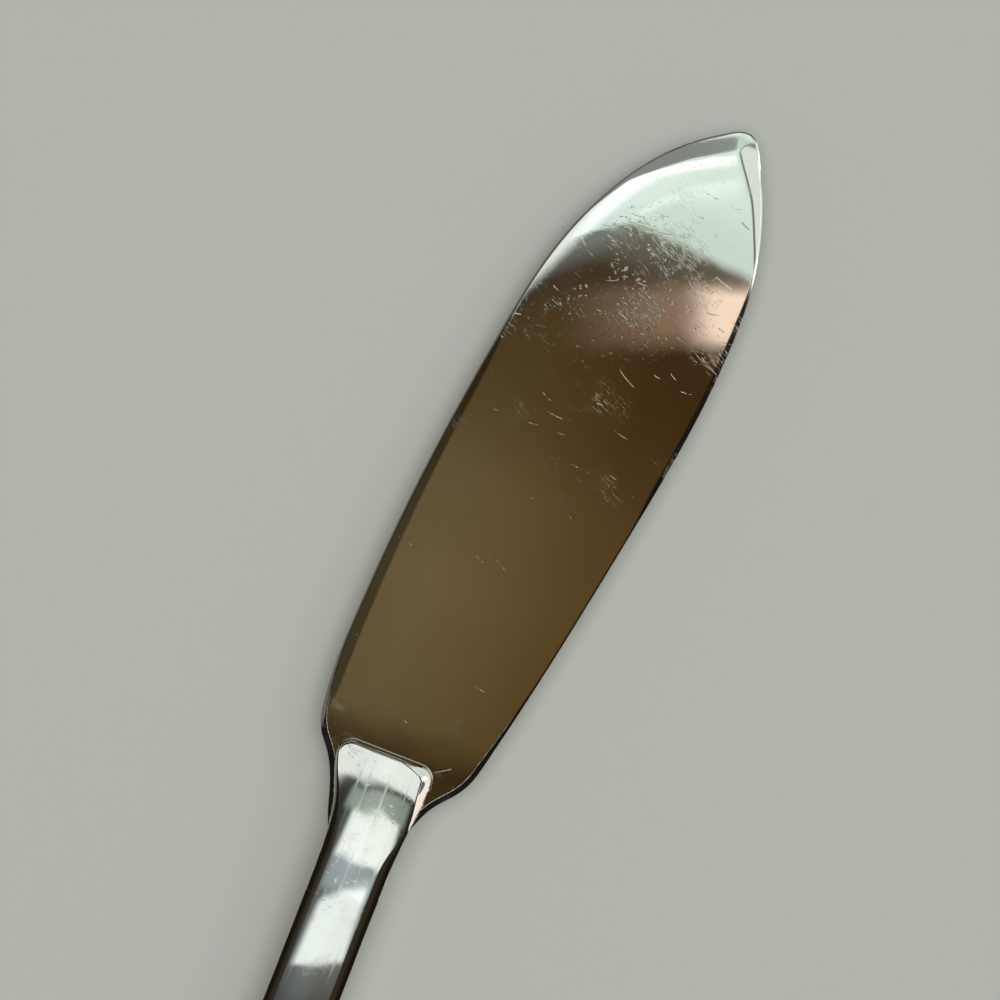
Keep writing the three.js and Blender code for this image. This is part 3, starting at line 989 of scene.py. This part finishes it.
def grained_finish(name, dark, light, grain, depth, roughness, metallic):
    """A finish mottled by grains of one size, which also roughen the surface."""
    finish, tree = new_finish(name)
    place = add(tree, "ShaderNodeTexCoord", {})["Object"]
    grains = add(tree, "ShaderNodeTexNoise", {"Vector": place, "Scale": 1 / grain, "Detail": 3.0})[0]
    shades = {"Factor": grains, "A": colour(dark), "B": colour(light)}
    base = add(tree, "ShaderNodeMix", shades, data_type="RGBA")["Result"]
    bump = add(tree, "ShaderNodeBump", {"Height": grains, "Distance": depth})[0]
    grained = {"Base Color": base, "Metallic": metallic, "Roughness": roughness, "Normal": bump}
    surface = add(tree, "ShaderNodeBsdfPrincipled", grained)[0]
    add(tree, "ShaderNodeOutputMaterial", {"Surface": surface})
    return finish


braze = grained_finish(
    "filed_silver_braze", BRAZE_DARK, BRAZE_LIGHT, FILE_MARK, FILE_DEPTH, BRAZE_ROUGHNESS, metallic=1.0
)
seam.data.materials.append(braze)
solder.data.materials.append(braze)
cement = grained_finish(
    "set_cement", CEMENT_DARK, CEMENT_LIGHT, SAND_GRAIN, SAND_DEPTH, CEMENT_ROUGHNESS, metallic=0.0
)
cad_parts["handle_cement"].data.materials.clear()
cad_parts["handle_cement"].data.materials.append(cement)
print(f"finishes: {steel.name}, {braze.name}, {cement.name}")

# %% [markdown]
# ## Floor and light
#
# A polished blade has no look of its own: it shows what is round it. Seen from above it mirrors the
# ceiling, which is why most of it is brown, while the tip and the neck are turned a little and catch
# the light at the ends of the room. The room could be built of lamps and boards. Here it is painted on
# the world by direction, which renders without noise and lets each reflection be placed. It has a dim
# warm ceiling, paler end walls, side walls with a dark band that draws the edges of the steel, and
# panes of soft light past the tip and past the handle, with narrow gaps that give the reflections
# their edges.

# %% Floor
FLOOR_COLOUR = "#BFC1BA"
FLOOR_ROUGHNESS = 0.9
FLOOR_REACH = 6.0  # metres each way


def matt_floor():
    finish, tree = new_finish("matt_paper_floor")
    paper = {"Base Color": colour(FLOOR_COLOUR), "Roughness": FLOOR_ROUGHNESS}
    surface = add(tree, "ShaderNodeBsdfPrincipled", paper)[0]
    add(tree, "ShaderNodeOutputMaterial", {"Surface": surface})
    return finish


floor_mesh = bpy.data.meshes.new("floor")
floor_corners = [(-1, -1), (1, -1), (1, 1), (-1, 1)]
floor_corners = [(FLOOR_REACH * x, FLOOR_REACH * y, cad_box[0].z) for x, y in floor_corners]
floor_mesh.from_pydata(floor_corners, [], [(0, 1, 2, 3)])
floor_mesh.materials.append(matt_floor())
floor = bpy.data.objects.new("floor", floor_mesh)
bpy.context.scene.collection.objects.link(floor)
floor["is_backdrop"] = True

# %% Ceiling and walls
# A direction is named by the place where it meets a level ceiling one unit up: "along" grows towards
# the tip's end of the room, and "aside" towards the belly's side.
ALONG = {
    -0.3: "#4A4C4E",
    -0.25: "#747A7C",
    -0.158: "#6A6C6A",
    -0.152: "#5E4C30",
    -0.125: "#4E3E28",
    -0.105: "#80714E",
    -0.035: "#887752",
    0.02: "#806E4E",
    0.05: "#705E3E",
    0.085: "#645230",
    0.115: "#5E4C32",
    0.14: "#564C3C",
    0.165: "#969C98",
    0.3: "#8A8E8A",
}
# How much of that colour is left towards either side.
ASIDE = {
    -0.3: "#8C8478",
    -0.05: "#DBCAB4",
    -0.01: "#F6EFE0",
    0.02: "#FFFFFF",
    0.07: "#F4F4F4",
    0.16: "#A8AAAC",
}
# Up the walls: the sine of the angle above the horizon, and the colour. The end walls face the tip and
# the handle, and the side walls face the edges of the blade.
END_WALLS = {0.0: "#AEA298", 0.3: "#94867C", 0.6: "#64574C", 0.8: "#5A5040", 0.9: "#564C3A"}
SIDE_WALLS = {
    0.0: "#B0B2AE",
    0.2: "#9A9A95",
    0.48: "#84827C",
    0.55: "#24221F",
    0.75: "#221E19",
    0.9: "#4A3F2C",
}
# Share of a level direction that points aside, where the side walls begin and where they are whole.
SIDE_FROM, SIDE_WHOLE = 0.4, 0.7
CEILING_FROM, CEILING_WHOLE = 0.86, 0.95  # sines between which the walls fade into the ceiling
LOWEST = 0.05  # directions lower than this sine count as the wall's foot


def shade_along(tree, stops, place):
    """The colour that a row of stops has at a place between them."""
    low, high = min(stops), max(stops)
    share = add(tree, "ShaderNodeMapRange", {0: place, 1: low, 2: high})[0]
    shade = add(tree, "ShaderNodeValToRGB", {0: share})["Color"]
    # A ramp begins with two stops. More are put between them, and then all get their own places.
    ramp = shade.node.color_ramp.elements
    while len(ramp) < len(stops):
        ramp.new(0.5)
    for stop, (at, hex_value) in zip(ramp, stops.items()):
        stop.position = (at - low) / (high - low)
        stop.color = colour(hex_value)
    return shade


# %% Panes of soft light
PANES = {
    # name: reach along, reach aside, turn in degrees, softness along and aside, colour, brightness
    "lip_pane": ((-0.1755, -0.152), (-0.32, 0.6), 0, (0.001, 0.03), "#F4FFFF", 1.45),
    "neck_bar": ((-0.185, -0.178), (-0.28, 0.27), 0, (0.001, 0.03), "#D0EADC", 0.55),
    "neck_pane": ((-0.203, -0.185), (-0.25, 0.18), 0, (0.001, 0.03), "#F4FFFF", 1.5),
    "hazy_pane": ((-0.213, -0.203), (-0.2, 0.18), 0, (0.002, 0.03), "#D2ECFA", 0.45),
    "handle_pane": ((-0.248, -0.212), (-0.16, 0.14), 2, (0.002, 0.03), "#F0FCFF", 1.4),
    "handle_glow": ((-0.27, -0.18), (-0.18, 0.24), 0, (0.03, 0.03), "#C8D8DC", 0.2),
    "warm_pane": ((0.133, 0.163), (-0.129, -0.057), 20, (0.005, 0.012), "#FFEADC", 1.3),
    "warm_glow": ((0.122, 0.152), (-0.1, -0.015), 25, (0.007, 0.035), "#E8C8AC", 0.4),
    "tip_pane": ((0.17, 0.57), (-0.129, 0.071), -6, (0.003, 0.03), "#E0FCF8", 1.15),
    "ridge_pane": ((0.233, 0.262), (-0.04, 0.09), 0, (0.007, 0.015), "#FFF6F2", 0.7),
    "tip_edge_pane": ((0.148, 0.294), (0.06, 0.184), -37, (0.02, 0.03), "#F2FFFF", 1.3),
    "tip_bevel_pane": ((0.3, 0.9), (0.06, 0.6), 0, (0.05, 0.03), "#B4C4C8", 0.65),
    "tip_glare": ((0.19, 0.45), (-0.1, 0.03), 0, (0.012, 0.03), "#E4F6FF", 0.2),
    "tip_streak": ((0.191, 0.201), (-0.062, 0.002), 30, (0.004, 0.015), "#FFFFFF", 0.3),
    "spine_pane": ((0.15, 0.7), (-0.6, -0.17), 0, (0.05, 0.03), "#F0FFFF", 1.3),
    "spine_edge_pane": ((0.35, 1.5), (-2.2, -0.55), 0, (0.08, 0.05), "#F0FFFF", 1.2),
    "warm_wall": ((-0.5, 2.5), (-1.9, -1.45), 0, (0.05, 0.05), "#FFF4EC", 1.5),
}


def pane_share(tree, place, along, aside, turn, softness):
    """1 inside a pane and 0 outside it, with edges that fade over the softness given."""
    middle = (sum(along) / 2, sum(aside) / 2, 0)
    pose = {"Vector": place, "Location": middle, "Rotation": (0, 0, math.radians(turn))}
    away = add(tree, "ShaderNodeMapping", pose, vector_type="TEXTURE")[0]
    away = add(tree, "ShaderNodeVectorMath", {0: away}, operation="ABSOLUTE")[0]
    part = add(tree, "ShaderNodeSeparateXYZ", {0: away})
    shares = []
    for axis, (low, high), soft in zip("XY", (along, aside), softness):
        edge = (high - low) / 2
        limits = {0: part[axis], 1: edge + soft, 2: edge - soft}
        shares.append(add(tree, "ShaderNodeMapRange", limits, interpolation_type="SMOOTHSTEP")[0])
    return add(tree, "ShaderNodeMath", {0: shares[0], 1: shares[1]}, operation="MULTIPLY")[0]


# %% Put the room together
def dim_room():
    world = bpy.data.worlds.new("dim_room")
    bpy.context.scene.world = world
    world.use_nodes = True
    tree = world.node_tree
    tree.nodes.clear()
    direction = add(tree, "ShaderNodeTexCoord", {})["Generated"]
    height = add(tree, "ShaderNodeSeparateXYZ", {0: direction})["Z"]
    up = add(tree, "ShaderNodeMath", {0: height, 1: LOWEST}, operation="MAXIMUM")[0]
    place = add(tree, "ShaderNodeVectorMath", {0: direction, 1: up}, operation="DIVIDE")[0]
    on_ceiling = add(tree, "ShaderNodeSeparateXYZ", {0: place})
    along = shade_along(tree, ALONG, on_ceiling["X"])
    aside = shade_along(tree, ASIDE, on_ceiling["Y"])
    ceiling = add(tree, "ShaderNodeVectorMath", {0: along, 1: aside}, operation="MULTIPLY")[0]
    level = add(tree, "ShaderNodeVectorMath", {0: direction, 1: (1, 1, 0)}, operation="MULTIPLY")[0]
    level = add(tree, "ShaderNodeVectorMath", {0: level}, operation="NORMALIZE")[0]
    to_side = add(tree, "ShaderNodeSeparateXYZ", {0: level})["Y"]
    to_side = add(tree, "ShaderNodeMath", {0: to_side}, operation="ABSOLUTE")[0]
    to_side = add(tree, "ShaderNodeMapRange", {0: to_side, 1: SIDE_FROM, 2: SIDE_WHOLE})[0]
    walls = {"A": shade_along(tree, END_WALLS, height), "B": shade_along(tree, SIDE_WALLS, height)}
    walls = add(tree, "ShaderNodeMix", {"Factor": to_side, **walls}, data_type="RGBA")["Result"]
    above = add(tree, "ShaderNodeMapRange", {0: height, 1: CEILING_FROM, 2: CEILING_WHOLE})[0]
    parts = {"Factor": above, "A": walls, "B": ceiling}
    room = add(tree, "ShaderNodeMix", parts, data_type="RGBA")["Result"]
    for *pane, hex_value, brightness in PANES.values():
        share = pane_share(tree, place, *pane)
        glow = [brightness * part for part in colour(hex_value)[:3]]
        lit = {0: share, 1: glow, 2: room}
        room = add(tree, "ShaderNodeVectorMath", lit, operation="MULTIPLY_ADD")[0]
    light = add(tree, "ShaderNodeBackground", {"Color": room})[0]
    add(tree, "ShaderNodeOutputWorld", {"Surface": light})
    print(f"room with {len(PANES)} panes, {len(tree.nodes)} nodes")


dim_room()

# %% Fill light
FILL_HEIGHT, FILL_WIDTH = 1.0, 1.3  # metres
FILL_BRIGHTNESS = 1.55

fill_data = bpy.data.lights.new("fill", "AREA")
fill_data.size = FILL_WIDTH
fill_data.energy = FILL_BRIGHTNESS * math.pi * FILL_WIDTH**2
fill = bpy.data.objects.new("fill", fill_data)
fill.location = (VIEW_X, VIEW_Y, FILL_HEIGHT)
bpy.context.scene.collection.objects.link(fill)
# The fill lights the floor. The steel doesn't mirror it, because it would hide the ceiling.
fill.visible_glossy = False
print(f"fill: {fill_data.energy:.1f} W")

# %% [markdown]
# ## Finishing
#
# The colours are shown as they are, without a film look. The box of what was built is printed beside
# the box of the solids.

# %% Print the size and set the colours
bpy.context.scene.view_settings.view_transform = "Standard"
visual_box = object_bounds()
for name, box in (("solids", cad_box), ("visual", visual_box)):
    print(name, [[round(v / MM, 2) for v in corner] for corner in box])
